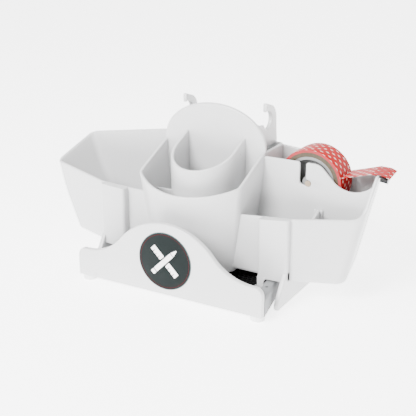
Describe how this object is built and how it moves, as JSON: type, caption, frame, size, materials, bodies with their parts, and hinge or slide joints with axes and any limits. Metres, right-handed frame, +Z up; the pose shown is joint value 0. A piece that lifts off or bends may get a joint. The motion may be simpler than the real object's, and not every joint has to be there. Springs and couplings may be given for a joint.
{
  "type": "tool storage caddy",
  "caption": "Desk caddy for hobby tools: a lift-off tray with bins, a two-stage cup, hooks and a tape dispenser on a low base with a crested front plate.",
  "frame": {"origin": "middle of the bounding box in plan, on the surface the feet stand on", "axes": "+X to the right seen from the front, +Y towards the back, +Z up"},
  "size_m": [0.3205, 0.122, 0.1516],
  "materials": {
    "white_moulding": "satin, lightly glossy",
    "frosted_rail": "frosted",
    "base_pan": "matt",
    "black_mat": "matt, ribbed",
    "foot_rubber": "matt",
    "screw_steel": "dark",
    "badge_charcoal": "satin",
    "badge_red": "satin",
    "black_plastic": "satin",
    "blade_steel": "brushed",
    "tape_film": "printed, satin",
    "kraft_core": "rough card",
    "hub_plastic": "satin",
    "spindle_plastic": "satin"
  },
  "bodies": {
    "base": {"front_plate": "white_moulding", "back_plate": "white_moulding", "left_rail": "frosted_rail", "right_rail": "frosted_rail", "base_floor": "base_pan", "ribbed_mat": "black_mat", "feet": "foot_rubber", "rail_screws": "screw_steel", "badge_disc": "badge_charcoal", "badge_ring": "badge_red"},
    "tray": {"left_bin": "white_moulding", "right_bin": "white_moulding", "tape_wall": "white_moulding", "centre_cup": "white_moulding", "inner_cup": "white_moulding", "cup_web": "white_moulding", "dome_back": "white_moulding", "rear_pocket": "white_moulding", "left_leg": "white_moulding", "right_leg": "white_moulding", "left_hook": "white_moulding", "right_hook": "white_moulding", "cutter_bar": "black_plastic", "cutter_blade": "blade_steel", "tape_strip": "tape_film"},
    "divider": {"pocket_divider": "white_moulding"},
    "tape_roll": {"tape_winding": "tape_film", "tape_core": "kraft_core", "tape_hub": "hub_plastic", "tape_spindle": "spindle_plastic"}
  },
  "joints": [
    {"name": "tray_lift", "type": "slide", "parent": "base", "child": "tray", "axis": [0, 0, 1], "range_m": [0, 0.06]},
    {"name": "divider_lift", "type": "slide", "parent": "tray", "child": "divider", "axis": [0, 0, 1], "range_m": [0, 0.05]},
    {"name": "tape_spin", "type": "hinge", "parent": "tray", "child": "tape_roll", "pos_m": [0.0925, 0.035, 0.0943], "axis": [0, 1, 0], "continuous": true}
  ]
}
